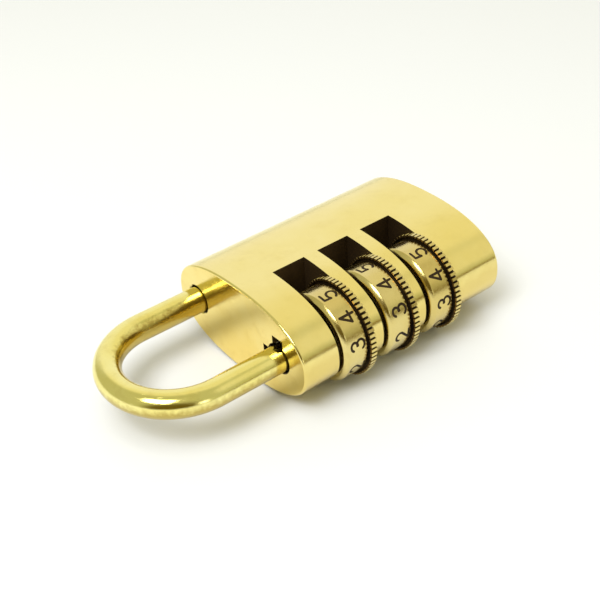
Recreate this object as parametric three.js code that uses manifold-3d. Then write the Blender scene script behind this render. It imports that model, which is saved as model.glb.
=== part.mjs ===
// Three-dial combination padlock, lying flat with its shackle towards +Y. Millimetres, +Z up.
// Each piece is a closed solid in its own named Mesh. The origin is under the centre of the whole lock.
import * as THREE from 'three';
import { mergeVertices } from 'three/addons/utils/BufferGeometryUtils.js';
import Module from 'manifold-3d';

const wasm = await Module();
wasm.setup();

// ---- Case ----
const BODY_WIDTH = 25;
const BODY_LENGTH = 30.8;
const BODY_THICKNESS = 12.4;
const SECTION_POWER = 2.32;       // superellipse exponent of the case's cross-section
const FLAT_LAND = 2.2;            // half width of the flat strip along the top and the underside
const EDGE_CHAMFER = 0.3;

// ---- Dial slots, measured from the shackle-end face ----
const DIAL_COUNT = 3;
const SLOT_START = 4.95;
const SLOT_WIDTH = 4.7;
const SLOT_PITCH = 6.75;
const SLOT_DEPTH = 11.7;          // from the dial side of the case

// ---- Dials ----
const AXIS_INSET = 4.85;          // dial and spindle axis, from the dial side of the case
const BAND_RADIUS = 5.6;
const FLANGE_RADIUS = 6.2;
const KNURL_DEPTH = 0.3;
const KNURL_TEETH = 60;
const DIAL_FACE = 0.45;           // shackle-side face of a dial, from its slot's wall
const BAND_CHAMFER = 0.45;
const BAND_END = 3.55;
const FLANGE_START = 3.75;
const GROOVE_FLOOR = 4.15;
const GROOVE_INNER = 5.1;
const GROOVE_OUTER = 5.95;        // just outside the roots of the knurl
const DIAL_BACK = 4.6;
const DIGIT_CENTRE = 2.3;
const DIGIT_STROKE = 0.34;
const DIGIT_DEPTH = 0.17;
const DIGITS = 10;

// ---- Code sleeves ----
const SLEEVE_START = 1.15;
const SLEEVE_END = 4.1;
const SLEEVE_BORE = 2.25;
const SLEEVE_RADIUS = 3.45;
const SPLINE_HEIGHT = 0.4;
const SPLINE_WIDTH = 0.9;
const SPLINE_GAP = 0.1;
const CLICK_ZONE = 2.8;           // where the ten click notches begin
const CLICK_BORE = 2.6;
const NOTCH_REACH = 2.85;
const NOTCH_WIDTH = 1.3;
const GATE_WIDTH = 2.0;
const LIP_START = 4.2;             // lip of the dial that the sleeve rests on
const LIP_RADIUS = 3.0;
const SNAP_RING_START = 0.75;
const SNAP_RING_THICKNESS = 0.3;
const SNAP_RING_OUTER = 3.95;
const SNAP_RING_INNER = 3.2;
const RING_GAP = 0.45;            // half of the gap in the open rings, in radians

// ---- Wave washers, between each dial and its slot's wall ----
const WASHER_OUTER = 4.3;
const WASHER_INNER = 2.95;
const WASHER_THICKNESS = 0.2;
const WAVE_HEIGHT = 0.07;

// ---- Shackle and spindle ----
const BAR_RADIUS = 1.68;
const TOE_INSET = 21.0;           // toe axis, from the dial side of the case
const SHACKLE_REACH = 18.3;       // from the end face to the top of the bow
const TOE_LENGTH = 4.4;
const TOE_HOLE_RADIUS = 1.88;
const TOE_HOLE_DEPTH = 5.0;
const SPINDLE_END = 29.8;
const FIN_START = 4.8;
const FIN_LENGTH = 1.0;
const FIN_WIDTH = 1.5;
const FIN_REACH = 2.65;
const BORE_RADIUS = 2.2;
const GUIDE_RADIUS = 1.88;        // where the spindle enters the case
const GUIDE_END = 1.0;
const KEYWAY_WIDTH = 1.9;
const KEYWAY_REACH = 2.85;
const STRIP_KEYWAY_DEPTH = 3.0;
const MOUTH_CHAMFER = 0.12;

// ---- Chamber, ring, washer and springs at the bottom end ----
const CHAMBER_START = 23.55;
const CHAMBER_RADIUS = 3.1;
const PLUG_START = 30.0;
const PLUG_GAP = 0.05;
const PLUG_CHAMFER = 0.15;
const RING_START = 29.18;
const RING_THICKNESS = 0.42;
const RING_RADIUS = 2.5;
const RING_GROOVE_RADIUS = 1.38;
const RING_PLAY = 0.04;
const STOP_WASHER_START = 28.9;
const STOP_WASHER_THICKNESS = 0.22;
const STOP_WASHER_RADIUS = 2.8;
const SPRING_BORE_START = 24.6;
const SPRING_BORE_RADIUS = 1.0;
const SPRING_RADIUS = 0.72;
const SPRING_WIRE_RADIUS = 0.13;
const SPRING_TURNS = 7;
const SEAT_START = 29.7;
const SEAT_THICKNESS = 0.25;
const SEAT_GAP = 0.15;

// ---- Click strip ----
const STRIP_OFFSET = 1.92;        // middle of the strip, from the spindle axis
const STRIP_THICKNESS = 0.2;
const STRIP_WIDTH = 1.0;
const STRIP_START = 1.2;
const STRIP_END = 23.2;
const BUMP_OFFSET = 2.56;

// ---- Places in the lock's frame ----
const LEFT = -(BODY_WIDTH + FLANGE_RADIUS - AXIS_INSET) / 2 + FLANGE_RADIUS - AXIS_INSET;
const TOP_END = (BODY_LENGTH + SHACKLE_REACH) / 2 - SHACKLE_REACH;
const MIDDLE_Z = BODY_THICKNESS / 2;
const AXIS_X = LEFT + AXIS_INSET;
const TOE_X = LEFT + TOE_INSET;

const BRASS = { color: 0xd9bf6a, roughness: 0.22, metalness: 1 };
const SHACKLE_BRASS = { color: 0xcdb45a, roughness: 0.18, metalness: 1 };
const DIAL_BRASS = { color: 0xdcc477, roughness: 0.28, metalness: 1 };
const STEEL = { color: 0xb9bcc0, roughness: 0.35, metalness: 1 };

// ---- Helpers ----

// Y of a point at a distance from the shackle-end face, towards the bottom end.
function fromTopEnd(distance) {
  return TOP_END - distance;
}

function slotStart(index) {
  return SLOT_START + index * SLOT_PITCH;
}

// Turns a closed three.js geometry into a manifold solid.
function solid(geometry) {
  const bare = geometry.clone();
  bare.deleteAttribute('normal');
  bare.deleteAttribute('uv');
  const merged = mergeVertices(bare, 1e-4);
  const index = merged.index.array;
  const triangles = [];
  for (let i = 0; i < index.length; i += 3) {
    const [a, b, c] = [index[i], index[i + 1], index[i + 2]];
    if (a !== b && b !== c && c !== a) triangles.push(a, b, c);
  }
  const vertProperties = merged.attributes.position.array;
  return new wasm.Manifold(new wasm.Mesh({ numProp: 3, vertProperties, triVerts: new Uint32Array(triangles) }));
}

// Turns a manifold solid back into a three.js geometry.
function geometryOf(manifold) {
  const mesh = manifold.getMesh();
  const geometry = new THREE.BufferGeometry();
  geometry.setAttribute('position', new THREE.BufferAttribute(mesh.vertProperties, 3));
  geometry.setIndex(new THREE.BufferAttribute(mesh.triVerts, 1));
  geometry.computeVertexNormals();
  return geometry;
}

function piece(name, manifold, look) {
  const mesh = new THREE.Mesh(geometryOf(manifold), new THREE.MeshStandardMaterial(look));
  mesh.name = name;
  return mesh;
}

// Box between two corners.
function box(low, high) {
  const size = high.map((value, i) => value - low[i]);
  const geometry = new THREE.BoxGeometry(...size);
  return solid(geometry.translate(...low.map((value, i) => value + size[i] / 2)));
}

// Round bar along Y. The distances run from the reference height towards -Y.
function rod(radius, start, end, segments = 24, endRadius = radius) {
  const geometry = new THREE.CylinderGeometry(radius, endRadius, end - start, segments);
  return solid(geometry.translate(0, -(start + end) / 2, 0));
}

// Flat ring along Y, made from two rods.
function ring(outer, inner, start, end, segments = 24) {
  return rod(outer, start, end, segments).subtract(rod(inner, start - 1, end + 1, segments));
}

// Prism whose outline is drawn in X and Z, running from the start distance towards -Y.
function prism(outline, start, end) {
  const geometry = new THREE.ExtrudeGeometry(outline, { depth: end - start, bevelEnabled: false });
  return solid(geometry.rotateX(Math.PI / 2).translate(0, -start, 0));
}

// Solid of revolution about Y. The profile is a list of [radius, distance] pairs, given anticlockwise.
function revolved(profile, segments) {
  const points = profile.map(([radius, distance]) => new THREE.Vector2(radius, -distance));
  return solid(new THREE.LatheGeometry([...points, points[0].clone()], segments));
}

// Outline of a band of constant width along an open line of [x, y] points.
function ribbon(points, width) {
  const left = [];
  const right = [];
  points.forEach(([x, y], i) => {
    const [ax, ay] = points[Math.max(i - 1, 0)];
    const [bx, by] = points[Math.min(i + 1, points.length - 1)];
    const length = Math.hypot(bx - ax, by - ay);
    const nx = (-(by - ay) / length) * (width / 2);
    const ny = ((bx - ax) / length) * (width / 2);
    left.push(new THREE.Vector2(x + nx, y + ny));
    right.unshift(new THREE.Vector2(x - nx, y - ny));
  });
  return new THREE.Shape([...right, ...left].reverse());
}

function union(parts) {
  return parts.reduce((sum, part) => sum.add(part));
}

// The same cutter at each of the ten digit positions round the dial axis.
function aroundAxis(part, count = DIGITS) {
  return union(Array.from({ length: count }, (_, i) => part.rotate([0, (i * 360) / count, 0])));
}

// ---- Case ----

// Crowned section with round sides and a narrow flat land on each face.
function sectionOutline() {
  const halfWidth = BODY_WIDTH / 2;
  const halfHeight = BODY_THICKNESS / 2;
  const steps = 14;
  const quarter = [];
  for (let i = 0; i <= steps; i++) {
    const angle = (i / steps) * (Math.PI / 2);
    const x = halfWidth * Math.cos(angle) ** (2 / SECTION_POWER);
    const z = halfHeight * Math.sin(angle) ** (2 / SECTION_POWER);
    if (x > FLAT_LAND) quarter.push([x, z]);
  }
  quarter.push([FLAT_LAND, halfHeight]);
  const mirrored = quarter.map(([x, z]) => [-x, z]).reverse();
  const upper = [...quarter, ...mirrored];
  const lower = upper.slice(1, -1).map(([x, z]) => [x, -z]).reverse();
  const centreX = LEFT + halfWidth;
  return new THREE.Shape([...upper, ...lower].map(([x, z]) => new THREE.Vector2(centreX + x, MIDDLE_Z + z)));
}

function caseBlank() {
  const geometry = new THREE.ExtrudeGeometry(sectionOutline(), {
    depth: BODY_LENGTH - 2 * EDGE_CHAMFER,
    bevelThickness: EDGE_CHAMFER,
    bevelSize: EDGE_CHAMFER,
    bevelOffset: -EDGE_CHAMFER,
    bevelSegments: 1,
  });
  return solid(geometry.rotateX(Math.PI / 2).translate(0, fromTopEnd(EDGE_CHAMFER), 0));
}

function dialSlot(index) {
  const top = fromTopEnd(slotStart(index));
  return box([LEFT - 1, top - SLOT_WIDTH, -1], [LEFT + SLOT_DEPTH, top, BODY_THICKNESS + 1]);
}

// Everything cut out about the spindle axis: bore, keyways and the chamber at the bottom end.
function spindleCavity() {
  const half = KEYWAY_WIDTH / 2;
  const stripHalf = NOTCH_WIDTH / 2;
  return union([
    rod(BORE_RADIUS, GUIDE_END, CHAMBER_START + 1),
    rod(GUIDE_RADIUS, -1, GUIDE_END + 1),
    rod(GUIDE_RADIUS + MOUTH_CHAMFER + 1, -1, MOUTH_CHAMFER, 24, GUIDE_RADIUS),
    box([-half, -CHAMBER_START - 1, 0], [half, 1, KEYWAY_REACH]),
    box([0, -STRIP_KEYWAY_DEPTH, -stripHalf], [KEYWAY_REACH, 1, stripHalf]),
    rod(CHAMBER_RADIUS, CHAMBER_START, BODY_LENGTH + 1),
  ]).translate([AXIS_X, TOP_END, MIDDLE_Z]);
}

function toeHole() {
  const hole = rod(TOE_HOLE_RADIUS, -1, TOE_HOLE_DEPTH);
  const mouth = rod(TOE_HOLE_RADIUS + MOUTH_CHAMFER + 1, -1, MOUTH_CHAMFER, 24, TOE_HOLE_RADIUS);
  return hole.add(mouth).translate([TOE_X, TOP_END, MIDDLE_Z]);
}

function caseBody() {
  const slots = Array.from({ length: DIAL_COUNT }, (_, i) => dialSlot(i));
  const cuts = union([spindleCavity(), toeHole(), ...slots]);
  return piece('case_body', caseBlank().subtract(cuts), BRASS);
}

// Places a piece made about the spindle axis, with its distances from the shackle-end face.
function onAxis(mesh, distance = 0) {
  mesh.position.set(AXIS_X, fromTopEnd(distance), MIDDLE_Z);
  return mesh;
}

function basePlug() {
  const radius = CHAMBER_RADIUS - PLUG_GAP;
  const disc = rod(radius, PLUG_START, BODY_LENGTH - PLUG_CHAMFER);
  const rim = rod(radius, BODY_LENGTH - PLUG_CHAMFER, BODY_LENGTH, 24, radius - PLUG_CHAMFER);
  return onAxis(piece('base_plug', disc.add(rim), BRASS));
}

function springSeat() {
  const disc = rod(SPRING_BORE_RADIUS - SEAT_GAP, SEAT_START, SEAT_START + SEAT_THICKNESS, 20);
  return onAxis(piece('spring_seat', disc, STEEL));
}

// Strip on the far side of the spindle, seen from above as a bent line and given its width in Z.
function clickStrip() {
  const line = [[BUMP_OFFSET, -STRIP_START], [STRIP_OFFSET, -STRIP_START - 0.8]];
  for (let i = 0; i < DIAL_COUNT; i++) {
    const notch = -slotStart(i) - (CLICK_ZONE + SLEEVE_END) / 2;
    line.push([STRIP_OFFSET, notch + 0.6], [BUMP_OFFSET, notch + 0.2]);
    line.push([BUMP_OFFSET, notch - 0.2], [STRIP_OFFSET, notch - 0.6]);
  }
  line.push([STRIP_OFFSET, -STRIP_END]);
  const outline = ribbon(line, STRIP_THICKNESS);
  const geometry = new THREE.ExtrudeGeometry(outline, { depth: STRIP_WIDTH, bevelEnabled: false });
  return onAxis(piece('click_strip', solid(geometry.translate(0, 0, -STRIP_WIDTH / 2)), STEEL));
}

// Three gentle waves round a thin flat ring.
function waveWasher(index) {
  const low = -(DIAL_FACE + WASHER_THICKNESS) / 2;
  const high = low + WASHER_THICKNESS;
  const section = [[WASHER_INNER, low], [WASHER_OUTER, low], [WASHER_OUTER, high], [WASHER_INNER, high]];
  const points = [...section, section[0]].map(([radius, y]) => new THREE.Vector2(radius, y));
  const geometry = new THREE.LatheGeometry(points, 36);
  const position = geometry.attributes.position;
  for (let i = 0; i < position.count; i++) {
    const angle = Math.atan2(position.getZ(i), position.getX(i));
    position.setY(i, position.getY(i) + WAVE_HEIGHT * Math.cos(3 * angle));
  }
  return onAxis(piece(`wave_washer_${index + 1}`, solid(geometry), STEEL), slotStart(index));
}

// ---- Shackle ----

// Bar along the spindle, round the bow and back down to the toe, in the plane of both legs.
function shackleBar() {
  const bowRadius = (TOE_INSET - AXIS_INSET) / 2;
  const bowStart = fromTopEnd(-(SHACKLE_REACH - BAR_RADIUS - bowRadius));
  const path = new THREE.CurvePath();
  const at = (x, y) => new THREE.Vector3(x, y, MIDDLE_Z);
  path.add(new THREE.LineCurve3(at(AXIS_X, fromTopEnd(SPINDLE_END)), at(AXIS_X, bowStart)));
  path.add(new BowCurve(AXIS_X + bowRadius, bowStart, bowRadius));
  path.add(new THREE.LineCurve3(at(TOE_X, bowStart), at(TOE_X, fromTopEnd(TOE_LENGTH))));
  const section = new THREE.Shape().absarc(0, 0, BAR_RADIUS, 0, 2 * Math.PI);
  const options = { steps: 56, curveSegments: 11, extrudePath: path, bevelEnabled: false };
  return solid(new THREE.ExtrudeGeometry(section, options));
}

// Half circle from the spindle side over to the toe side.
class BowCurve extends THREE.Curve {
  constructor(centreX, centreY, radius) {
    super();
    Object.assign(this, { centreX, centreY, radius });
  }

  getPoint(t, target = new THREE.Vector3()) {
    const angle = Math.PI * (1 - t);
    return target.set(
      this.centreX + this.radius * Math.cos(angle),
      this.centreY + this.radius * Math.sin(angle),
      MIDDLE_Z,
    );
  }
}

function fins() {
  return Array.from({ length: DIAL_COUNT }, (_, i) => {
    const start = slotStart(i) + FIN_START;
    return box([-FIN_WIDTH / 2, -start - FIN_LENGTH, 1], [FIN_WIDTH / 2, -start, FIN_REACH]);
  });
}

function shackle() {
  const grooveEnd = RING_START + RING_THICKNESS + RING_PLAY;
  const groove = ring(BAR_RADIUS + 1, RING_GROOVE_RADIUS, RING_START - RING_PLAY, grooveEnd);
  const springBore = rod(SPRING_BORE_RADIUS, SPRING_BORE_START, SPINDLE_END + 1);
  const place = [AXIS_X, TOP_END, MIDDLE_Z];
  const bar = shackleBar().add(union(fins()).translate(place));
  return piece('shackle', bar.subtract(groove.add(springBore).translate(place)), SHACKLE_BRASS);
}

function stopWasher() {
  const end = STOP_WASHER_START + STOP_WASHER_THICKNESS;
  const washer = ring(STOP_WASHER_RADIUS, BAR_RADIUS + 0.1, STOP_WASHER_START, end);
  return onAxis(piece('stop_washer', washer, STEEL));
}

function retainingRing() {
  const ringSolid = openRing(RING_RADIUS, RING_GROOVE_RADIUS + RING_PLAY, RING_START, RING_THICKNESS, Math.PI);
  return onAxis(piece('retaining_ring', ringSolid, STEEL));
}

class SpringHelix extends THREE.Curve {
  constructor(radius, start, end, turns) {
    super();
    Object.assign(this, { radius, start, end, turns });
  }

  getPoint(t, target = new THREE.Vector3()) {
    const angle = 2 * Math.PI * this.turns * t;
    const distance = this.start + (this.end - this.start) * t;
    return target.set(this.radius * Math.cos(angle), -distance, this.radius * Math.sin(angle));
  }
}

function liftSpring() {
  const start = SPRING_BORE_START + 2 * SPRING_WIRE_RADIUS;
  const helix = new SpringHelix(SPRING_RADIUS, start, SEAT_START - 2 * SPRING_WIRE_RADIUS, SPRING_TURNS);
  const section = new THREE.Shape().absarc(0, 0, SPRING_WIRE_RADIUS, 0, 2 * Math.PI);
  const options = { steps: 56, curveSegments: 3, extrudePath: helix, bevelEnabled: false };
  return onAxis(piece('lift_spring', solid(new THREE.ExtrudeGeometry(section, options)), STEEL));
}

// ---- Digits ----

// Points along part of an ellipse, with the angles in degrees.
function arc(cx, cy, rx, ry, from, to, steps = 4) {
  return Array.from({ length: steps + 1 }, (_, i) => {
    const angle = THREE.MathUtils.degToRad(from + ((to - from) * i) / steps);
    return [cx + rx * Math.cos(angle), cy + ry * Math.sin(angle)];
  });
}

// Each digit is a few open strokes about its own centre, in millimetres.
const DIGIT_STROKES = [
  [arc(0, 0, 0.62, 0.95, 85, 275), arc(0, 0, 0.62, 0.95, -95, 95)],
  [[[-0.4, 0.6], [0.08, 0.98]], [[0.05, 0.95], [0.05, 0], [0.05, -1]]],
  [[...arc(0, 0.38, 0.58, 0.57, 170, -30, 4), [-0.62, -0.93]], [[-0.7, -0.93], [0, -0.93], [0.66, -0.93]]],
  [arc(-0.05, 0.46, 0.52, 0.49, 150, -95), arc(-0.05, -0.43, 0.62, 0.52, 95, -150)],
  [
    [[0.25, -1], [0.25, 0], [0.25, 1]], [[0.3, 0.98], [-0.7, -0.4]],
    [[-0.76, -0.38], [0, -0.38], [0.66, -0.38]],
  ],
  [[[0.55, 0.93], [-0.5, 0.93]], [[-0.42, 1], [-0.5, 0.08]], arc(-0.03, -0.36, 0.62, 0.59, 135, -145)],
  [
    arc(0, -0.38, 0.6, 0.57, 0, 190), arc(0, -0.38, 0.6, 0.57, 170, 365),
    arc(0.45, -0.3, 1.05, 1.28, 175, 100, 3),
  ],
  [[[-0.64, 0.93], [0, 0.93], [0.66, 0.93]], [[0.6, 0.98], [-0.2, -1]]],
  [
    arc(0, 0.47, 0.48, 0.46, 85, 275, 4), arc(0, 0.47, 0.48, 0.46, -95, 95, 4),
    arc(0, -0.43, 0.6, 0.52, 85, 275, 4), arc(0, -0.43, 0.6, 0.52, -95, 95, 4),
  ],
  [
    arc(0, 0.38, 0.6, 0.57, 0, 190), arc(0, 0.38, 0.6, 0.57, 170, 365),
    arc(-0.45, 0.3, 1.05, 1.28, -5, -80, 3),
  ],
];

// One digit as a cutter bent round the dial's band.
function bentDigit(digit) {
  const middle = -Math.PI / 2 + (digit * 2 * Math.PI) / DIGITS;
  const options = { depth: DIGIT_DEPTH + 0.3, bevelEnabled: false };
  const strokes = DIGIT_STROKES[digit].map((line) => {
    const geometry = new THREE.ExtrudeGeometry(ribbon(line, DIGIT_STROKE), options);
    const position = geometry.attributes.position;
    for (let i = 0; i < position.count; i++) {
      const angle = middle + position.getX(i) / BAND_RADIUS;
      const radius = BAND_RADIUS - DIGIT_DEPTH + position.getZ(i);
      position.setXYZ(i, -radius * Math.cos(angle), position.getY(i), radius * Math.sin(angle));
    }
    return solid(geometry);
  });
  return union(strokes).translate([0, -DIGIT_CENTRE, 0]);
}

function allDigits() {
  return union(Array.from({ length: DIGITS }, (_, digit) => bentDigit(digit)));
}

// ---- Dials ----

function knurledFlange() {
  const points = [];
  for (let i = 0; i < 2 * KNURL_TEETH; i++) {
    const angle = (i * Math.PI) / KNURL_TEETH;
    const radius = i % 2 ? FLANGE_RADIUS - KNURL_DEPTH : FLANGE_RADIUS;
    points.push(new THREE.Vector2(radius * Math.cos(angle), radius * Math.sin(angle)));
  }
  return prism(new THREE.Shape(points), FLANGE_START, DIAL_BACK);
}

// Number band, chamfered at its shackle side, with the groove behind it cut into the flange's face.
function dialBlank() {
  const band = revolved([
    [2, DIAL_BACK], [BAND_RADIUS, DIAL_BACK], [BAND_RADIUS, DIAL_FACE + BAND_CHAMFER],
    [BAND_RADIUS - BAND_CHAMFER, DIAL_FACE], [2, DIAL_FACE],
  ], 40);
  const groove = ring(GROOVE_OUTER, GROOVE_INNER, BAND_END, GROOVE_FLOOR, 40);
  return band.add(knurledFlange()).subtract(groove);
}

// Splined bore down to the sleeve's lip, with a groove for the snap ring.
function dialBore() {
  const reach = SLEEVE_RADIUS + SPLINE_HEIGHT + SPLINE_GAP;
  const half = SPLINE_WIDTH / 2 + SPLINE_GAP;
  const groove = box([SLEEVE_RADIUS - 1, -LIP_START, -half], [reach, 1, half]);
  const ringEnd = SNAP_RING_START + SNAP_RING_THICKNESS;
  return union([
    rod(SLEEVE_RADIUS + SPLINE_GAP, -1, LIP_START, 40),
    rod(LIP_RADIUS, -1, 6, 30),
    rod(SNAP_RING_OUTER + 0.08, SNAP_RING_START - 0.04, ringEnd + 0.04, 40),
    aroundAxis(groove),
  ]);
}

// Open ring with its gap at a given direction, made about the spindle axis.
function openRing(outer, inner, start, thickness, direction) {
  const outline = new THREE.Shape();
  outline.absarc(0, 0, outer, direction + RING_GAP, direction + 2 * Math.PI - RING_GAP, false);
  outline.absarc(0, 0, inner, direction - RING_GAP, direction - 2 * Math.PI + RING_GAP, true);
  return prism(outline, start, start + thickness);
}

function snapRing(index) {
  const gapAt = -Math.PI / 2;
  const ringSolid = openRing(SNAP_RING_OUTER, SNAP_RING_INNER, SNAP_RING_START, SNAP_RING_THICKNESS, gapAt);
  return onAxis(piece(`snap_ring_${index + 1}`, ringSolid, STEEL), slotStart(index));
}

// Splined outside; inside, a plain land that stops the fin, one gate through it and the click notches.
function sleeveSolid() {
  const splineHalf = SPLINE_WIDTH / 2;
  const reach = SLEEVE_RADIUS + SPLINE_HEIGHT;
  const spline = box([SLEEVE_RADIUS - 0.5, -SLEEVE_END, -splineHalf], [reach, -SLEEVE_START, splineHalf]);
  const notchHalf = NOTCH_WIDTH / 2;
  const notch = box([1, -6, -notchHalf], [NOTCH_REACH, -CLICK_ZONE, notchHalf]);
  const gate = box([-GATE_WIDTH / 2, -6, 0], [GATE_WIDTH / 2, 1, NOTCH_REACH]);
  const outside = rod(SLEEVE_RADIUS, SLEEVE_START, SLEEVE_END, 40).add(aroundAxis(spline));
  return outside.subtract(union([
    rod(SLEEVE_BORE, -1, 6, 30),
    rod(CLICK_BORE, CLICK_ZONE, 6, 30),
    aroundAxis(notch),
    gate,
  ]));
}

// ---- Assembly ----

const lock = new THREE.Group();
const dial = dialBlank().subtract(dialBore().add(allDigits()));
const sleeve = sleeveSolid();

lock.add(caseBody(), basePlug(), springSeat(), clickStrip());
lock.add(shackle(), stopWasher(), retainingRing(), liftSpring());
for (let i = 0; i < DIAL_COUNT; i++) {
  lock.add(onAxis(piece(`number_dial_${i + 1}`, dial, DIAL_BRASS), slotStart(i)));
  lock.add(onAxis(piece(`code_sleeve_${i + 1}`, sleeve, STEEL), slotStart(i)));
  lock.add(snapRing(i), waveWasher(i));
}

export default lock;
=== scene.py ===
"""Looks of the three-dial combination padlock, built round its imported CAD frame.

Shapes are drawn in millimetres and scaled to metres when a piece is finished.
"""

import math

import bmesh
import bpy
from mathutils import Matrix, Vector
from mathutils.geometry import delaunay_2d_cdt


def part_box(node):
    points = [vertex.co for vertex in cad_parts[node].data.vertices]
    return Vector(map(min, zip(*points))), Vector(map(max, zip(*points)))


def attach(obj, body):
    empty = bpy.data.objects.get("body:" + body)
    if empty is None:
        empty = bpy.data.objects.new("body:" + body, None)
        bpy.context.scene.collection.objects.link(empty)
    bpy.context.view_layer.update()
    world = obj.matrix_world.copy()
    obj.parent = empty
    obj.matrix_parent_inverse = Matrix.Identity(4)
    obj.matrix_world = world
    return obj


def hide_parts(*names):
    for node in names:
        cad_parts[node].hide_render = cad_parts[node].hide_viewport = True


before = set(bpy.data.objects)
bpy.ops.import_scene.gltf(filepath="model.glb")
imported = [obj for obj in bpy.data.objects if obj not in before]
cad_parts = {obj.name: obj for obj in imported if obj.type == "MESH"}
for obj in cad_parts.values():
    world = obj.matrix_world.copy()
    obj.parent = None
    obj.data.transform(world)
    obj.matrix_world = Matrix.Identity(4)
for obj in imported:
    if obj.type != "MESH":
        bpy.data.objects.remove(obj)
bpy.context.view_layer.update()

MM = 0.001
TAU = 2 * math.pi

# ---- Places, from the frame ----
case_low, case_high = (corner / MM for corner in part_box("case_body"))
dial_low, dial_high = (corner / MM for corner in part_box("number_dial_1"))
bar_low, bar_high = (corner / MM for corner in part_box("shackle"))
LEFT, RIGHT = case_low.x, case_high.x
TOP_END, BOTTOM_END = case_high.y, case_low.y
MIDDLE_Z = case_high.z / 2
AXIS_X = (dial_low.x + dial_high.x) / 2

# ---- Case ----
SECTION_POWER = 2.32
SECTION_STEPS = 40               # points in each quarter of the section
END_ROUND, END_STEPS = 0.3, 4    # rounding where the section meets the flat ends
EDGE_BEVEL = 0.09
SLOT_START, SLOT_WIDTH, SLOT_PITCH, SLOT_DEPTH = 4.95, 4.7, 6.75, 11.7
DIALS = 3

# ---- Spindle cavity and toe hole, depths from the shackle's end of the case ----
BORE_RADIUS, KEYWAY_WIDTH, KEYWAY_REACH = 2.2, 1.9, 2.85
GUIDE_RADIUS, GUIDE_END = 1.88, 1.0
CHAMBER_START, CHAMBER_RADIUS = 23.55, 3.1
STRIP_KEYWAY_DEPTH, STRIP_KEYWAY_WIDTH = 3.0, 1.3
TOE_HOLE_RADIUS, TOE_HOLE_DEPTH = 1.88, 5.0
MOUTH_CHAMFER = 0.12

# ---- Shackle ----
BAR_RADIUS = 1.68
BAR_SIDES = 64
BOW_STEPS = 96
TOE_LENGTH, SPINDLE_END = 4.4, 29.8
TOE_ROUND, TOE_ROUND_STEPS = 0.4, 5
SPINDLE_TIP = ((0, 0.22), (0.08, 0.08), (0.22, 0))       # distance from the tip, inset
TOE_X = bar_high.x - BAR_RADIUS
BOW_RADIUS = (TOE_X - AXIS_X) / 2
BOW_Y = bar_high.y - BAR_RADIUS - BOW_RADIUS
FIN_START, FIN_LENGTH, FIN_WIDTH, FIN_REACH = 4.8, 1.0, 1.5, 2.65
FIN_BEVEL = 0.06
RING_GROOVE, RING_GROOVE_RADIUS = (29.14, 29.64), 1.38
SPRING_BORE_START, SPRING_BORE_RADIUS = 24.6, 1.0

# ---- Dials, distances from the slot's wall on the shackle's side ----
BAND_RADIUS, FLANGE_RADIUS = 5.6, 6.2
DIAL_FACE, BAND_CHAMFER, BAND_END, DIAL_BACK = 0.45, 0.45, 3.55, 4.6
FLANGE_START, GROOVE_FLOOR, GROOVE_INNER, GROOVE_OUTER = 3.75, 4.15, 5.1, 5.95
KNURL_TEETH, KNURL_DEPTH, RIM_BEVEL = 60, 0.3, 0.05
TOOTH = (                        # share of a pitch, share of the depth
    (0.0, 0.0), (0.5, 0.0), (0.56, 0.15),
    (0.64, 1.0), (0.86, 1.0), (0.94, 0.15),
)
DIAL_SIDES, BORE_SIDES = 180, 96
BAND_SOFTENING = 0.06            # rounding of the band's corners
BORE_START_RADIUS, LIP_START, LIP_RADIUS = 3.95, 4.2, 3.0
DIGIT_CENTRE, DIGIT_STROKE, DIGIT_DEPTH = 2.3, 0.32, 0.17
STROKE_END_SIDES = 14
DIAL_TURNS = (-6, 8, -12.5)      # degrees each dial stands away from its mark
ENAMEL_DEPTH, ENAMEL_OVERLAP = 0.05, 0.02

# ---- Camera ----
CAMERA_PLACE = (-0.09180, 0.06443, 0.08697)
CAMERA_TURN = (54.605, 3.618, -128.646)
CAMERA_LENS = 68.8

# ---- Light ----
BACKDROP = (0.585, 0.575, 0.485) # the tone that the floor reaches far away
SURROUND = (0.58, 0.57, 0.38)
PATCHES = [                      # azimuth, elevation, inner and outer radius in degrees, colour
    (-50, 40, 30, 48, (0.93, 0.88, 0.66)),
    (-30, 12, 21, 46, (1.0, 0.99, 0.96)),
    (-132, 38, 12, 27, (0.86, 0.82, 0.62)),
    (-148, -4, 7, 16, (0.24, 0.17, 0.05)),
    (135, 8, 22, 42, (0.15, 0.11, 0.02)),
    (176, 11, 4, 9, (2.4, 2.4, 2.4)),
]
LAMP_DISTANCE = 0.45
KEY_PLACE, KEY_SIZE, KEY_POWER = (108, 55), (0.19, 0.17), 0.9
SOFT_PLACE, SOFT_SIZE, SOFT_POWER = (110, 70), (0.34, 0.30), 1.05
FLOOR_COLOUR, FLOOR_ROUGHNESS = (0.76, 0.78, 0.84), 0.6
FLOOR_HALF_SIZE, FLOOR_DROP = 1.2, 0.0001


# ------------------------------------------------------------------ meshes

def mesh_object(name, bm):
    mesh = bpy.data.meshes.new(name)
    bmesh.ops.recalc_face_normals(bm, faces=bm.faces)
    bm.to_mesh(mesh)
    bm.free()
    obj = bpy.data.objects.new(name, mesh)
    bpy.context.scene.collection.objects.link(obj)
    return obj


def loft(name, rings):
    """Closed solid through rings of equal point counts, with flat ends."""
    bm = bmesh.new()
    rows = [[bm.verts.new(point) for point in ring] for ring in rings]
    count = len(rows[0])
    for row, after in zip(rows, rows[1:]):
        for i in range(count):
            j = (i + 1) % count
            bm.faces.new((row[i], row[j], after[j], after[i]))
    bm.faces.new(rows[0])
    bm.faces.new(rows[-1])
    return mesh_object(name, bm)


def box(name, low, high):
    corners = [(low[0], low[2]), (high[0], low[2]), (high[0], high[2]), (low[0], high[2])]
    return loft(name, [[(x, y, z) for x, z in corners] for y in (low[1], high[1])])


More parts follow.
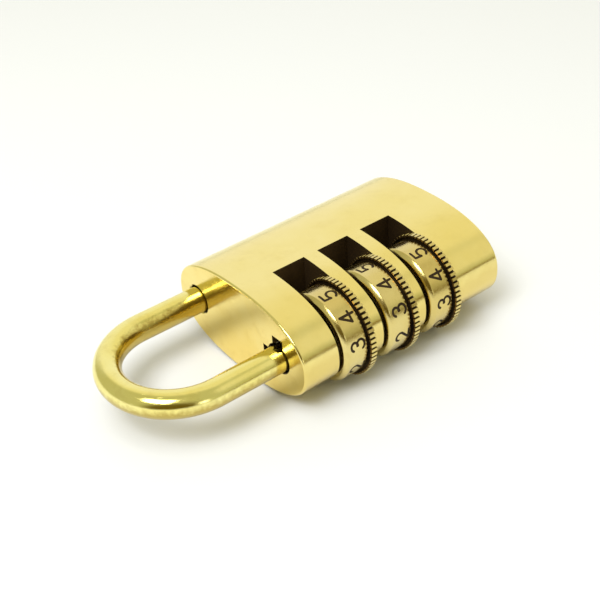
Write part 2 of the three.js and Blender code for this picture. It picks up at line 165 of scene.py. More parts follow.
def lathe(name, profile, centre, sides=64):
    """Solid of revolution about a line along Y. The profile is (radius, y) from one end to the other."""
    x, z = centre
    turns = [TAU * i / sides for i in range(sides)]
    return loft(name, [[(x + r * math.cos(a), y, z + r * math.sin(a)) for a in turns] for r, y in profile])


def applied(obj):
    """The object with its modifiers made part of its mesh."""
    graph = bpy.context.evaluated_depsgraph_get()
    mesh = bpy.data.meshes.new_from_object(obj.evaluated_get(graph))
    obj.modifiers.clear()
    obj.data = mesh
    return obj


def combine(obj, other, operation="DIFFERENCE"):
    modifier = obj.modifiers.new("cut", "BOOLEAN")
    modifier.operation = operation
    modifier.solver = "MANIFOLD"
    modifier.object = other
    applied(obj)
    bpy.data.objects.remove(other)
    return obj


def bevelled(obj, width, segments=2, angle=35, material=-1):
    modifier = obj.modifiers.new("bevel", "BEVEL")
    modifier.width = width
    modifier.segments = segments
    modifier.limit_method = "ANGLE"
    modifier.angle_limit = math.radians(angle)
    modifier.material = material
    modifier.use_clamp_overlap = True
    return applied(obj)


def even_normals(obj):
    """Smooth shading whose normals follow the largest faces, so flats stay flat up to their rounded edges."""
    obj.data.shade_smooth()
    modifier = obj.modifiers.new("normals", "WEIGHTED_NORMAL")
    modifier.mode = "FACE_AREA"
    modifier.weight = 100
    return applied(obj)


def dressed(obj, *materials):
    """Gives a piece its materials in order, keeping the index that each face already has."""
    indices = [face.material_index for face in obj.data.polygons]
    obj.data.materials.clear()
    for material in materials:
        obj.data.materials.append(material)
    obj.data.polygons.foreach_set("material_index", indices)
    return obj


def moved_copy(obj, name, shift):
    mesh = obj.data.copy()
    mesh.transform(shift)
    copy = bpy.data.objects.new(name, mesh)
    bpy.context.scene.collection.objects.link(copy)
    return copy


def finished(obj, body, slot, *nodes):
    """Scales a piece from millimetres to metres and ties it to the frame."""
    obj.data.transform(Matrix.Scale(MM, 4))
    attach(obj, body)
    if nodes:
        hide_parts(*nodes)
    return obj


# ------------------------------------------------------------------ case

def section(inset=0.0):
    """Points (x, z) round the crowned section of the case, moved inwards by the inset."""
    half_width, half_height = (RIGHT - LEFT) / 2, MIDDLE_Z
    points = []
    for i in range(4 * SECTION_STEPS):
        angle = TAU * i / (4 * SECTION_STEPS)
        c, s = math.cos(angle), math.sin(angle)
        x = math.copysign(half_width * abs(c) ** (2 / SECTION_POWER), c)
        z = math.copysign(half_height * abs(s) ** (2 / SECTION_POWER), s)
        slope = Vector((
            math.copysign(abs(x / half_width) ** (SECTION_POWER - 1) / half_width, x),
            math.copysign(abs(z / half_height) ** (SECTION_POWER - 1) / half_height, z),
        )).normalized()
        points.append(((LEFT + RIGHT) / 2 + x - inset * slope.x, MIDDLE_Z + z - inset * slope.y))
    return points


def case_blank():
    turns = [math.pi / 2 * i / END_STEPS for i in range(END_STEPS + 1)]
    rounding = [(END_ROUND * (1 - math.sin(turn)), END_ROUND * (1 - math.cos(turn))) for turn in turns]
    rings = [[(x, TOP_END - depth, z) for x, z in section(inset)] for inset, depth in rounding]
    mirrored = [[(x, TOP_END + BOTTOM_END - y, z) for x, y, z in ring] for ring in reversed(rings)]
    return loft("case", rings + mirrored)


def slot_top(index):
    return TOP_END - SLOT_START - index * SLOT_PITCH


def case_shell():
    case = case_blank()
    for i in range(DIALS):
        top = slot_top(i)
        cutter = box("slot", (LEFT - 2, top - SLOT_WIDTH, -2), (LEFT + SLOT_DEPTH, top, 2 * MIDDLE_Z + 2))
        combine(case, cutter)
    axis = (AXIS_X, MIDDLE_Z)
    half = KEYWAY_WIDTH / 2
    strip = STRIP_KEYWAY_WIDTH / 2
    chamber_top = TOP_END - CHAMBER_START
    combine(case, lathe("bore", [
        (GUIDE_RADIUS + MOUTH_CHAMFER + 1, TOP_END + 1), (GUIDE_RADIUS, TOP_END - MOUTH_CHAMFER),
        (GUIDE_RADIUS, TOP_END - GUIDE_END), (BORE_RADIUS, TOP_END - GUIDE_END),
        (BORE_RADIUS, chamber_top - 1)], axis))
    combine(case, box("keyway", (AXIS_X - half, chamber_top - 1, MIDDLE_Z),
                      (AXIS_X + half, TOP_END + 1, MIDDLE_Z + KEYWAY_REACH)))
    combine(case, box("strip_keyway", (AXIS_X, TOP_END - STRIP_KEYWAY_DEPTH, MIDDLE_Z - strip),
                      (AXIS_X + KEYWAY_REACH, TOP_END + 1, MIDDLE_Z + strip)))
    combine(case, lathe("chamber", [(CHAMBER_RADIUS, chamber_top), (CHAMBER_RADIUS, BOTTOM_END - 1)], axis))
    combine(case, lathe("toe_hole", [
        (TOE_HOLE_RADIUS + MOUTH_CHAMFER + 1, TOP_END + 1), (TOE_HOLE_RADIUS, TOP_END - MOUTH_CHAMFER),
        (TOE_HOLE_RADIUS, TOP_END - TOE_HOLE_DEPTH)], (TOE_X, MIDDLE_Z)))
    bevelled(case, EDGE_BEVEL, material=1)
    # The flat ends take the end tint, a painted reflection; the walls of the slots, the bores and the keyways
    # take the painted shade.
    for face in case.data.polygons:
        at_end = min(abs(face.center.y - TOP_END), abs(face.center.y - BOTTOM_END)) < 0.02
        if face.material_index == 0 and at_end:
            face.material_index = 3
        elif face.material_index == 0 and hidden_inside(face):
            face.material_index = 2
    return even_normals(case)


def hidden_inside(face):
    """True for the walls of the slots, the bores and the keyways, which take the painted shade."""
    x, y, z = face.center
    across = abs((x - (LEFT + RIGHT) / 2) / ((RIGHT - LEFT) / 2)) ** SECTION_POWER
    along_skin = across + abs(z / MIDDLE_Z - 1) ** SECTION_POWER > 0.985 and abs(face.normal.y) < 0.5
    if along_skin or y > TOP_END - 0.02 or y < BOTTOM_END + 0.02:
        return False
    in_slot = any(slot_top(i) - SLOT_WIDTH - 0.02 <= y <= slot_top(i) + 0.02 for i in range(DIALS))
    if in_slot and x < LEFT + SLOT_DEPTH + 0.02:
        return True
    from_axis = math.hypot(x - AXIS_X, z - MIDDLE_Z)
    from_toe = math.hypot(x - TOE_X, z - MIDDLE_Z)
    in_guide = y > TOP_END - GUIDE_END and from_axis < GUIDE_RADIUS + 0.02
    return not in_guide and (from_axis < CHAMBER_RADIUS + 0.05 or from_toe < TOE_HOLE_RADIUS + 0.03)


# ------------------------------------------------------------------ shackle

def shackle_path():
    """Stations up the spindle leg, round the bow and down the toe leg: x, y, sideways direction and radius."""
    centre_x = AXIS_X + BOW_RADIUS
    spindle_y, toe_y = TOP_END - SPINDLE_END, TOP_END - TOE_LENGTH
    stations = []
    for distance, inset in SPINDLE_TIP:
        stations.append((AXIS_X, spindle_y + distance, math.pi, BAR_RADIUS - inset))
    for i in range(BOW_STEPS + 1):
        angle = math.pi * (1 - i / BOW_STEPS)
        place = (centre_x + BOW_RADIUS * math.cos(angle), BOW_Y + BOW_RADIUS * math.sin(angle))
        stations.append((*place, angle, BAR_RADIUS))
    for i in range(TOE_ROUND_STEPS + 1):
        turn = math.pi / 2 * i / TOE_ROUND_STEPS
        y = toe_y + TOE_ROUND * (1 - math.sin(turn))
        stations.append((TOE_X, y, 0.0, BAR_RADIUS - TOE_ROUND * (1 - math.cos(turn))))
    return stations


def shackle_bar():
    rings = []
    for x, y, angle, radius in shackle_path():
        side = (math.cos(angle), math.sin(angle))
        ring = []
        for i in range(BAR_SIDES):
            turn = TAU * i / BAR_SIDES
            out = radius * math.cos(turn)
            ring.append((x + out * side[0], y + out * side[1], MIDDLE_Z + radius * math.sin(turn)))
        rings.append(ring)
    return loft("shackle_bar", rings)


def shackle():
    bar = shackle_bar()
    axis = (AXIS_X, MIDDLE_Z)
    for i in range(DIALS):
        start = slot_top(i) - FIN_START
        fin = box("fin", (AXIS_X - FIN_WIDTH / 2, start - FIN_LENGTH, MIDDLE_Z + 1),
                  (AXIS_X + FIN_WIDTH / 2, start, MIDDLE_Z + FIN_REACH))
        bevelled(fin, FIN_BEVEL)
        combine(bar, fin, "UNION")
    start, end = (TOP_END - distance for distance in RING_GROOVE)
    ring = lathe("ring", [(BAR_RADIUS + 1, start), (BAR_RADIUS + 1, end)], axis)
    combine(ring, lathe("core", [(RING_GROOVE_RADIUS, start + 1), (RING_GROOVE_RADIUS, end - 1)], axis))
    combine(bar, ring)
    combine(bar, lathe("spring_bore", [
        (SPRING_BORE_RADIUS, TOP_END - SPRING_BORE_START),
        (SPRING_BORE_RADIUS, TOP_END - SPINDLE_END - 1)], axis))
    bar.data.shade_smooth()
    bar.data.set_sharp_from_angle(angle=math.radians(35))
    return bar


# ------------------------------------------------------------------ digits

def arc(cx, cy, rx, ry, start, end, steps=18):
    angles = [math.radians(start + (end - start) * i / steps) for i in range(steps + 1)]
    return [(cx + rx * math.cos(a), cy + ry * math.sin(a)) for a in angles]


def line(*points, step=0.2):
    """Points of a polyline at a spacing small enough to bend round a dial."""
    made = [points[0]]
    for (ax, ay), (bx, by) in zip(points, points[1:]):
        count = max(1, round(math.hypot(bx - ax, by - ay) / step))
        made += [(ax + (bx - ax) * i / count, ay + (by - ay) * i / count) for i in range(1, count + 1)]
    return made


DIGITS = [                       # strokes of the digits 0 to 9, in millimetres about the digit's middle
    [arc(0, 0, 0.62, 0.95, 0, 360, 32)],
    [line((-0.4, 0.62), (0.05, 0.95)), line((0.05, 0.95), (0.05, -0.95))],
    [arc(0, 0.38, 0.58, 0.57, 170, -30) + line((0.42, 0.02), (-0.62, -0.95))[1:],
     line((-0.62, -0.95), (0.62, -0.95))],
    [arc(-0.05, 0.48, 0.52, 0.48, 155, -90), arc(-0.05, -0.42, 0.63, 0.53, 90, -155)],
    [line((0.25, 0.95), (0.25, -0.95)), line((0.25, 0.95), (-0.68, -0.38)),
     line((-0.68, -0.38), (0.64, -0.38))],
    [line((0.52, 0.95), (-0.46, 0.95)), line((-0.46, 0.95), (-0.52, 0.04)),
     arc(-0.03, -0.36, 0.62, 0.59, 138, -148)],
    [arc(0, -0.38, 0.6, 0.57, 0, 360, 28), arc(0.45, -0.3, 1.05, 1.28, 177, 102, 12)],
    [line((-0.62, 0.95), (0.6, 0.95)), line((0.6, 0.95), (-0.2, -0.95))],
    [arc(0, 0.47, 0.48, 0.46, 0, 360, 24), arc(0, -0.43, 0.6, 0.52, 0, 360, 28)],
    [arc(0, 0.38, 0.6, 0.57, 0, 360, 28), arc(-0.45, 0.3, 1.05, 1.28, -3, -78, 12)],
]


def stroke_polygons(points, width):
    """Outline pieces of one stroke: a four-sided piece for each step, and a disc at each point."""
    half = width / 2
    pieces = []
    for (ax, ay), (bx, by) in zip(points, points[1:]):
        length = math.hypot(bx - ax, by - ay)
        nx, ny = -(by - ay) / length * half, (bx - ax) / length * half
        pieces.append([(ax + nx, ay + ny), (ax - nx, ay - ny), (bx - nx, by - ny), (bx + nx, by + ny)])
    turns = [TAU * i / STROKE_END_SIDES for i in range(STROKE_END_SIDES)]
    for x, y in points:
        pieces.append([(x + half * math.cos(a), y + half * math.sin(a)) for a in turns])
    return pieces


def digit_outline(digit, width):
    """One digit as a flat mesh: its points, its triangles and the edges along its outline."""
    points, faces = [], []
    for stroke in DIGITS[digit]:
        for polygon in stroke_polygons(stroke, width):
            faces.append(list(range(len(points), len(points) + len(polygon))))
            points += [Vector(p) for p in polygon]
    made = delaunay_2d_cdt(points, [], faces, 0, 1e-5)
    triangles = [tri for tri, source in zip(made[2], made[5]) if source]
    count = {}
    for tri in triangles:
        for i in range(3):
            edge = (tri[i], tri[(i + 1) % 3])
            count[frozenset(edge)] = None if frozenset(edge) in count else edge
    return made[0], triangles, [edge for edge in count.values() if edge]


def digit_solid(digit, width, low, high, top):
    """A digit bent round the dial axis between two radii, with its middle at its place on the band."""
    points, triangles, outline = digit_outline(digit, width)
    middle = -math.pi / 2 + digit * TAU / len(DIGITS)
    bm = bmesh.new()
    layers = []
    for radius in (low, high):
        layer = []
        for x, y in points:
            angle = middle + x / BAND_RADIUS
            out, up = -radius * math.cos(angle), radius * math.sin(angle)
            layer.append(bm.verts.new((AXIS_X + out, top - DIGIT_CENTRE + y, MIDDLE_Z + up)))
        layers.append(layer)
    for tri in triangles:
        bm.faces.new([layers[0][i] for i in reversed(tri)])
        bm.faces.new([layers[1][i] for i in tri])
    for a, b in outline:
        bm.faces.new((layers[0][a], layers[0][b], layers[1][b], layers[1][a]))
    bmesh.ops.delete(bm, geom=[v for v in bm.verts if not v.link_faces], context="VERTS")
    return mesh_object("digit", bm)


# ------------------------------------------------------------------ dials

def knurled_flange(top):
    """Flange whose flat-topped teeth stand between narrow grooves, with a small bevel at the back."""
    turns = [(tooth + share) * TAU / KNURL_TEETH for tooth in range(KNURL_TEETH) for share, _ in TOOTH]
    depths = [depth * KNURL_DEPTH for _ in range(KNURL_TEETH) for _, depth in TOOTH]
    rings = []
    for distance, inset in ((FLANGE_START, 0), (DIAL_BACK - RIM_BEVEL, 0), (DIAL_BACK, RIM_BEVEL)):
        radii = [FLANGE_RADIUS - max(depth, inset) for depth in depths]
        rings.append([(AXIS_X + r * math.cos(a), top - distance, MIDDLE_Z + r * math.sin(a))
                      for r, a in zip(radii, turns)])
    return loft("flange", rings)


def dial(top):
    axis = (AXIS_X, MIDDLE_Z)
    soft = BAND_SOFTENING
    chamfer_end = DIAL_FACE + BAND_CHAMFER
    band = lathe("number_band", [
        (BAND_RADIUS - BAND_CHAMFER - soft, top - DIAL_FACE),
        (BAND_RADIUS - BAND_CHAMFER + soft / 2, top - DIAL_FACE - soft / 2),
        (BAND_RADIUS - soft / 2, top - chamfer_end + soft / 2),
        (BAND_RADIUS, top - chamfer_end - soft),
        (BAND_RADIUS, top - BAND_END + soft / 2),
        (BAND_RADIUS - soft / 2, top - BAND_END),
        (GROOVE_INNER, top - BAND_END),
        (GROOVE_INNER, top - DIAL_BACK + soft)], axis, DIAL_SIDES)
    flange = knurled_flange(top)
    groove = [(GROOVE_OUTER, top - FLANGE_START + 1), (GROOVE_OUTER, top - GROOVE_FLOOR)]
    bore = [(BORE_START_RADIUS, top + 1), (BORE_START_RADIUS, top - LIP_START)]
    lip = [(LIP_RADIUS, top + 1), (LIP_RADIUS, top - DIAL_BACK - 1)]
    combine(flange, lathe("groove", groove, axis, DIAL_SIDES))
    combine(band, flange, "UNION")
    combine(band, lathe("bore", bore, axis, BORE_SIDES))
    combine(band, lathe("lip", lip, axis, BORE_SIDES))
    for digit in range(len(DIGITS)):
        combine(band, digit_solid(digit, DIGIT_STROKE, BAND_RADIUS - DIGIT_DEPTH, BAND_RADIUS + 0.3, top))
    return band


def dial_enamel(top):
    """Dark fill of all ten digits, a little below the band's surface and overlapping the walls round it."""
    low, high = BAND_RADIUS - DIGIT_DEPTH - ENAMEL_OVERLAP, BAND_RADIUS - ENAMEL_DEPTH
    width = DIGIT_STROKE + ENAMEL_OVERLAP / 2
    parts = [digit_solid(digit, width, low, high, top) for digit in range(len(DIGITS))]
    bm = bmesh.new()
    for part in parts:
        bm.from_mesh(part.data)
        bpy.data.objects.remove(part)
    return mesh_object("digit_enamel", bm)


def dial_face_look(face, top):
    """Index of a face's material: 1, black fill in the groove and painted shade in the knurl's gaps and the
    bore; 2, painted shade on the flange's front.
    """
    x, y, z = face.center
    distance = top - y
    radius = math.hypot(x - AXIS_X, z - MIDDLE_Z)
    outwards = (face.normal.x * (x - AXIS_X) + face.normal.z * (z - MIDDLE_Z)) / radius
    in_ring = BAND_END - 0.01 < distance < DIAL_BACK - 0.01 and radius < GROOVE_OUTER + 0.02
    in_tooth_gap = distance > FLANGE_START and radius < FLANGE_RADIUS - 0.2 * KNURL_DEPTH and outwards > 0.1
    in_bore = DIAL_FACE + 0.01 < distance < DIAL_BACK - 0.01 and radius < BORE_START_RADIUS + 0.1
    if in_ring or in_tooth_gap or in_bore:
        return 1
    on_flange_front = abs(distance - FLANGE_START) < 0.06 and face.normal.y > 0.8
    return 2 if on_flange_front else 0


def round_band_normals(obj):
    """Exact round normals on the number band, so the engraved digits don't disturb its reflections."""
    mesh = obj.data
    mesh.shade_smooth()
    mesh.set_sharp_from_angle(angle=math.radians(32))
    normals = [Vector((0, 0, 0))] * len(mesh.loops)
    for face in mesh.polygons:
        corners = [mesh.vertices[v].co for v in face.vertices]
        on_band = all(abs(math.hypot(co.x - AXIS_X, co.z - MIDDLE_Z) - BAND_RADIUS) < 0.01 for co in corners)
        if on_band and abs(face.normal.y) < 0.1:
            for loop in face.loop_indices:
                co = mesh.vertices[mesh.loops[loop].vertex_index].co
                normals[loop] = Vector((co.x - AXIS_X, 0, co.z - MIDDLE_Z)).normalized()
    mesh.normals_split_custom_set(normals)
    return obj


# ------------------------------------------------------------------ materials

SCRATCH_SLANT, SCRATCH_STRETCH = 0.7, (14.0, 0.5, 4.0)
# Shares left of the tarnish tone, which is also the painted shade on the case's lower flanks.
TARNISH_AND_SHADE_SHARES = (0.72, 0.62, 0.45)    # how much of the red, green and blue is left
# Painted shade under the shackle and inside its loop: how much of the red, green and blue is left.
LOOP_SHADE_SHARES = (0.50, 0.42, 0.30)


class Nodes:
    """A short way to write a node tree."""

    def __init__(self, name):
        self.material = bpy.data.materials.new(name)
        self.material.use_nodes = True
        self.tree = self.material.node_tree
        self.shader = self.tree.nodes["Principled BSDF"]

    def add(self, kind, inputs=None, **settings):
        node = self.tree.nodes.new(kind)
        for key, value in settings.items():
            setattr(node, key, value)
        for key, value in (inputs or {}).items():
            self.put(value, node.inputs[key])
        return node

    def put(self, value, socket):
        if isinstance(value, bpy.types.NodeSocket):
            self.tree.links.new(value, socket)
        else:
            socket.default_value = value

    def noise(self, coords, scale, detail=3, roughness=0.5):
        return self.add("ShaderNodeTexNoise", {
            "Vector": coords, "Scale": scale, "Detail": detail, "Roughness": roughness}).outputs["Fac"]

    def ramp(self, value, low, high, start=0.0, end=1.0):
        node = self.add("ShaderNodeMapRange", {
            "Value": value, "From Min": low, "From Max": high, "To Min": start, "To Max": end})
        return node.outputs["Result"]

    def mix(self, factor, a, b):
        node = self.add("ShaderNodeMix", data_type="RGBA")
        self.put(factor, node.inputs["Factor"])
        self.put(a, node.inputs[6])
        self.put(b, node.inputs[7])
        return node.outputs[2]

    def math(self, operation, a, b):
        node = self.add("ShaderNodeMath", operation=operation)
        self.put(a, node.inputs[0])
        self.put(b, node.inputs[1])
        return node.outputs[0]

    def millimetres(self):
        coords = self.add("ShaderNodeTexCoord").outputs["Object"]
        scaled = self.add("ShaderNodeVectorMath", {0: coords, "Scale": 1 / MM}, operation="SCALE")
        return scaled.outputs["Vector"]

    def bump(self, height, strength, depth):
        node = self.add("ShaderNodeBump", {"Height": height, "Strength": strength, "Distance": depth * MM})
        self.put(node.outputs["Normal"], self.shader.inputs["Normal"])


def loop_painted_shade(n, to_mm, centre_x, centre_y, height, radius):
    """Mask of painted shade on the shackle's underside and on the inside of its loop, with an uneven edge."""
    uneven = n.ramp(n.noise(to_mm, 1.4, 5, 0.7), 0.3, 0.7, -0.35, 0.35)
    from_centre = n.add("ShaderNodeVectorMath", {0: to_mm, 1: (centre_x, centre_y, 0)}, operation="SUBTRACT")
    split = n.add("ShaderNodeSeparateXYZ", {0: from_centre.outputs["Vector"]}).outputs
    along = n.math("MAXIMUM", split["Y"], 0.0)
    flat = n.add("ShaderNodeCombineXYZ", {"X": split["X"], "Y": along}).outputs["Vector"]
    reach = n.add("ShaderNodeVectorMath", {0: flat}, operation="LENGTH").outputs["Value"]
    inner = n.ramp(n.math("ADD", reach, uneven), radius - 0.85, radius - 1.45)
    under = n.ramp(n.math("ADD", split["Z"], uneven), height + 0.5, height - 0.3)
    return n.math("MAXIMUM", inner, under)


def flank_painted_shade(n, to_mm, start, end):
    """Mask of painted shade that sets in as the height falls from start to end, darker towards the bottom where
    the sides turn towards the ground.
    """
    upright = n.add("ShaderNodeSeparateXYZ", {0: to_mm}).outputs["Z"]
    uneven = n.ramp(n.noise(to_mm, 0.5, 4, 0.6), 0.3, 0.7, -0.5, 0.5)
    return n.ramp(n.math("ADD", upright, uneven), start, end, 0.0, 0.5)


def darkened(colour, shares):
    return (*(channel * share for channel, share in zip(colour, shares)), 1)


def metal(name, pale, deep, roughness, brushing=(1, 1, 1), wear=0.5, tarnish=0.35, bump=0.02, metallic=1.0,
          loop=None, flank=None):
    """Polished metal: tint drifting between two tones, soft patches of tarnish, fine brushing and scratches. A
    flank gives painted shade low on the sides; a loop gives painted shade under and inside the shackle's loop.
    """
    n = Nodes(name)
    to_mm = n.millimetres()
    brushed = n.add("ShaderNodeVectorMath", {0: to_mm, 1: brushing}, operation="MULTIPLY").outputs["Vector"]
    drift = n.noise(to_mm, 0.12, 3, 0.6)
    patches = n.ramp(n.noise(to_mm, 0.45, 5, 0.62), 0.52, 0.78)
    lines = n.noise(brushed, 9.0, 4, 0.65)
    grain = n.noise(to_mm, 34.0, 2, 0.6)
    slanting = n.add("ShaderNodeVectorRotate", {"Vector": to_mm, "Angle": SCRATCH_SLANT},
                     rotation_type="Z_AXIS")
    stretched = n.add("ShaderNodeVectorMath", {0: slanting.outputs["Vector"], 1: SCRATCH_STRETCH},
                      operation="MULTIPLY")
    scratches = n.ramp(n.noise(stretched.outputs["Vector"], 0.55, 2, 0.5), 0.66, 0.72)
    tarnish_and_shade = darkened(deep, TARNISH_AND_SHADE_SHARES)
    colour = n.mix(n.ramp(drift, 0.35, 0.65), (*pale, 1), (*deep, 1))
    colour = n.mix(n.math("MULTIPLY", patches, tarnish), colour, tarnish_and_shade)
    colour = n.mix(n.ramp(lines, 0.35, 0.75, 0.0, 0.14), colour, tarnish_and_shade)
    # Painted shade: the sides darken towards the bottom.
    if flank:
        colour = n.mix(flank_painted_shade(n, to_mm, *flank), colour, tarnish_and_shade)
    # Painted shade on the shackle's underside and inside its loop: a darker colour and a little more roughness.
    loop_shade = loop_painted_shade(n, to_mm, *loop) if loop else 0.0
    if loop:
        colour = n.mix(n.math("MULTIPLY", loop_shade, 0.85), colour, darkened(deep, LOOP_SHADE_SHARES))
    n.put(colour, n.shader.inputs["Base Color"])
    n.put(metallic, n.shader.inputs["Metallic"])
    rough = n.ramp(lines, 0.3, 0.7, roughness * 0.75, roughness * 1.25)
    rough = n.math("ADD", rough, n.math("MULTIPLY", patches, 0.10))
    rough = n.math("ADD", rough, n.math("MULTIPLY", scratches, 0.12 * wear))
    rough = n.math("ADD", rough, n.math("MULTIPLY", loop_shade, 0.08))
    n.put(n.math("ADD", rough, n.ramp(grain, 0.4, 0.7, 0.0, 0.03)), n.shader.inputs["Roughness"])
    wobble = n.math("MULTIPLY", n.noise(to_mm, 0.5, 2, 0.5), 1.5)
    height = n.math("ADD", n.math("MULTIPLY", lines, 0.5), wobble)
    n.bump(n.math("ADD", height, n.math("MULTIPLY", scratches, -0.8 * wear)), 0.5, bump)
    return n.material


def enamel(name, deep, worn):
    """Dark fill, a little paler and rougher in specks."""
    n = Nodes(name)
    specks = n.noise(n.millimetres(), 6.0, 4, 0.6)
    n.put(n.mix(n.ramp(specks, 0.35, 0.7), (*deep, 1), (*worn, 1)), n.shader.inputs["Base Color"])
    n.shader.inputs["Specular IOR Level"].default_value = 0.2
    n.put(n.ramp(specks, 0.3, 0.7, 0.45, 0.7), n.shader.inputs["Roughness"])
    n.bump(specks, 0.6, 0.03)
    return n.material


# The case's sides take painted shade from 8.4 mm down to 6.8 mm in height.
brass_case = metal("case_brass", (0.93, 0.80, 0.33), (0.90, 0.76, 0.27), 0.12,
                   brushing=(0.25, 3.0, 0.25), tarnish=0.15, wear=0.15, flank=(8.4, 6.8))
brass_edge = metal("case_edge_brass", (0.97, 0.86, 0.52), (0.94, 0.80, 0.42), 0.12, tarnish=0.1)
# Painted reflection: the flat ends are tinted more orange, standing in for the warm surroundings they reflect.
end_reflection_tint = metal("case_end_reflection_tint", (0.95, 0.78, 0.28), (0.91, 0.71, 0.20), 0.11,
                  brushing=(0.4, 0.4, 2.0), tarnish=0.3)
# Painted shade: near-black brass for the walls of the slots, the bores and the keyways.
brass_inside_shade = metal("case_inside_shade", (0.09, 0.055, 0.024), (0.05, 0.029, 0.012), 0.5,
                   tarnish=0.6, bump=0.05, metallic=0.7)
# The shackle takes painted shade under it and inside its loop.
brass_bar = metal("shackle_brass", (0.94, 0.86, 0.35), (0.90, 0.79, 0.26), 0.10,
                  brushing=(3.0, 0.3, 3.0), loop=(AXIS_X + BOW_RADIUS, BOW_Y, MIDDLE_Z, BOW_RADIUS))
brass_dial = metal("dial_brass", (0.79, 0.67, 0.29), (0.71, 0.57, 0.20), 0.17, brushing=(0.4, 4.0, 0.4))
# Near-black brass: black fill for the groove ring, and painted shade in the knurl's gaps and the bore.
dial_groove_fill_and_shade = metal("dial_groove_fill_and_gap_shade", (0.09, 0.055, 0.022), (0.045, 0.026, 0.010), 0.5,
                        tarnish=0.6, bump=0.05, metallic=0.7)
# Painted shade: darker, rougher brass on the flange's front face, beside the groove.
dial_front_shade = metal("dial_front_painted_shade", (0.40, 0.27, 0.10), (0.28, 0.17, 0.06), 0.38, tarnish=0.5)
steel = metal("steel", (0.62, 0.62, 0.60), (0.48, 0.47, 0.45), 0.3, tarnish=0.4)
spring = metal("spring_steel", (0.5, 0.5, 0.5), (0.36, 0.35, 0.34), 0.28, tarnish=0.4)
dark_fill = enamel("digit_enamel", (0.014, 0.008, 0.004), (0.045, 0.025, 0.009))


# ------------------------------------------------------------------ pieces

case = dressed(case_shell(), brass_case, brass_edge, brass_inside_shade, end_reflection_tint)
case.name = "case_shell"
finished(case, "case", "case_brass", "case_body")

bar = dressed(shackle(), brass_bar)
finished(bar, "shackle", "shackle_brass", "shackle")

first_dial = round_band_normals(dial(slot_top(0)))
for face in first_dial.data.polygons:
    face.material_index = dial_face_look(face, slot_top(0))
dressed(first_dial, brass_dial, dial_groove_fill_and_shade, dial_front_shade)
first_enamel = dressed(dial_enamel(slot_top(0)), dark_fill)
first_enamel.data.shade_smooth()
first_enamel.data.set_sharp_from_angle(angle=math.radians(40))
for i, turn in enumerate(DIAL_TURNS):
    to_axis = Matrix.Translation((AXIS_X, 0, MIDDLE_Z))
    turned = to_axis @ Matrix.Rotation(math.radians(turn), 4, "Y") @ to_axis.inverted()
    shift = Matrix.Translation((0, -i * SLOT_PITCH, 0)) @ turned
    dial_copy = moved_copy(first_dial, f"dial_{i + 1}", shift)
    finished(dial_copy, f"dial_{i + 1}", "dial_brass", f"number_dial_{i + 1}")
    enamel_copy = moved_copy(first_enamel, f"digit_enamel_{i + 1}", shift)
    finished(enamel_copy, f"dial_{i + 1}", "dial_brass")
bpy.data.objects.remove(first_dial)
bpy.data.objects.remove(first_enamel)

NODE_LOOKS = {                   # by the first part of a node's name
    "case_body": brass_case, "base_plug": brass_case, "shackle": brass_bar, "number_dial": brass_dial,
    "code_sleeve": steel, "stop_washer": steel, "spring_seat": steel,
}
for name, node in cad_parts.items():
    look = next((look for start, look in NODE_LOOKS.items() if name.startswith(start)), spring)
    node.data.materials.clear()
    node.data.materials.append(look)
    node.data.shade_smooth()
    node.data.set_sharp_from_angle(angle=math.radians(32))


# ------------------------------------------------------------------ stage, light and camera

def stage():
    bm = bmesh.new()
    bmesh.ops.create_grid(bm, x_segments=2, y_segments=2, size=FLOOR_HALF_SIZE)
    floor = mesh_object("floor", bm)
    n = Nodes("floor")
    n.put((*FLOOR_COLOUR, 1), n.shader.inputs["Base Color"])
    n.put(FLOOR_ROUGHNESS, n.shader.inputs["Roughness"])
    floor.data.materials.append(n.material)
    floor.location.z = -FLOOR_DROP


def area_light(name, place, size, power):
    """Rectangular lamp at a place, facing the origin."""
    data = bpy.data.lights.new(name, "AREA")
    data.shape = "RECTANGLE"
    data.size, data.size_y = size
    data.energy = power
    light = bpy.data.objects.new(name, data)
    light.location = place
    light.rotation_mode = "QUATERNION"
    light.rotation_quaternion = (-Vector(place)).to_track_quat("-Z", "Y")
    bpy.context.scene.collection.objects.link(light)
    return light


def toward(azimuth, elevation):
    """Unit vector for a direction given in degrees."""
    a, e = math.radians(azimuth), math.radians(elevation)
    return Vector((math.cos(a) * math.cos(e), math.sin(a) * math.cos(e), math.sin(e)))


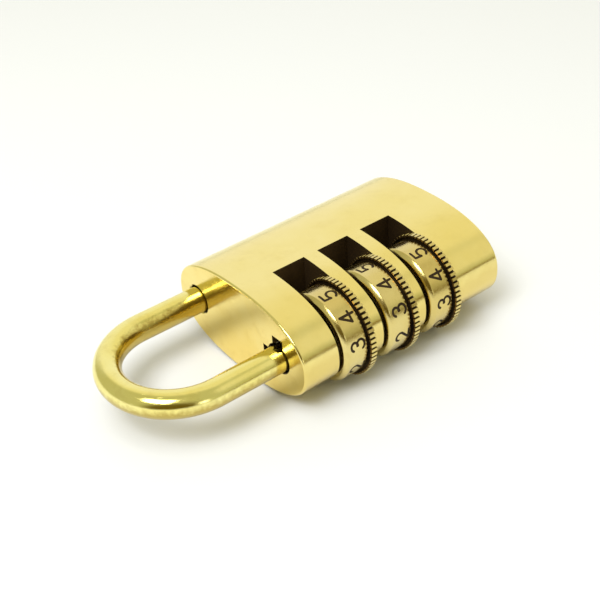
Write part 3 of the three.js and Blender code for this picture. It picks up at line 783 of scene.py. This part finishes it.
def studio_world():
    """Soft surround of a mid tone, with bright sheets, a window and two dim places.

    The view itself sees an even backdrop.
    """
    world = bpy.data.worlds.new("studio")
    bpy.context.scene.world = world
    world.use_nodes = True
    tree = world.node_tree
    direction = tree.nodes.new("ShaderNodeTexCoord").outputs["Generated"]
    before = None
    for azimuth, elevation, inner, outer, tone in PATCHES:
        closeness = tree.nodes.new("ShaderNodeVectorMath")
        closeness.operation = "DOT_PRODUCT"
        closeness.inputs[1].default_value = toward(azimuth, elevation)
        share = tree.nodes.new("ShaderNodeMapRange")
        share.interpolation_type = "SMOOTHSTEP"
        share.inputs["From Min"].default_value = math.cos(math.radians(outer))
        share.inputs["From Max"].default_value = math.cos(math.radians(inner))
        mix = tree.nodes.new("ShaderNodeMix")
        mix.data_type = "RGBA"
        mix.inputs[6].default_value = (*SURROUND, 1)
        mix.inputs[7].default_value = (*tone, 1)
        tree.links.new(direction, closeness.inputs[0])
        tree.links.new(closeness.outputs["Value"], share.inputs["Value"])
        tree.links.new(share.outputs["Result"], mix.inputs["Factor"])
        if before:
            tree.links.new(before, mix.inputs[6])
        before = mix.outputs[2]
    seen = tree.nodes.new("ShaderNodeLightPath").outputs["Is Camera Ray"]
    backdrop = tree.nodes.new("ShaderNodeMix")
    backdrop.data_type = "RGBA"
    backdrop.inputs[7].default_value = (*BACKDROP, 1)
    tree.links.new(seen, backdrop.inputs["Factor"])
    tree.links.new(before, backdrop.inputs[6])
    tree.links.new(backdrop.outputs[2], tree.nodes["Background"].inputs["Color"])


def lighting():
    studio_world()
    area_light("key", toward(*KEY_PLACE) * LAMP_DISTANCE, KEY_SIZE, KEY_POWER)
    overhead = area_light("overhead", toward(*SOFT_PLACE) * LAMP_DISTANCE, SOFT_SIZE, SOFT_POWER)
    overhead.visible_glossy = False


def camera():
    data = bpy.data.cameras.new("camera")
    data.lens = CAMERA_LENS
    data.clip_start, data.clip_end = 0.001, 10
    cam = bpy.data.objects.new("camera", data)
    cam.location = CAMERA_PLACE
    cam.rotation_euler = [math.radians(angle) for angle in CAMERA_TURN]
    bpy.context.scene.collection.objects.link(cam)
    bpy.context.scene.camera = cam


stage()
lighting()
camera()
bpy.context.scene.view_settings.view_transform = "Standard"
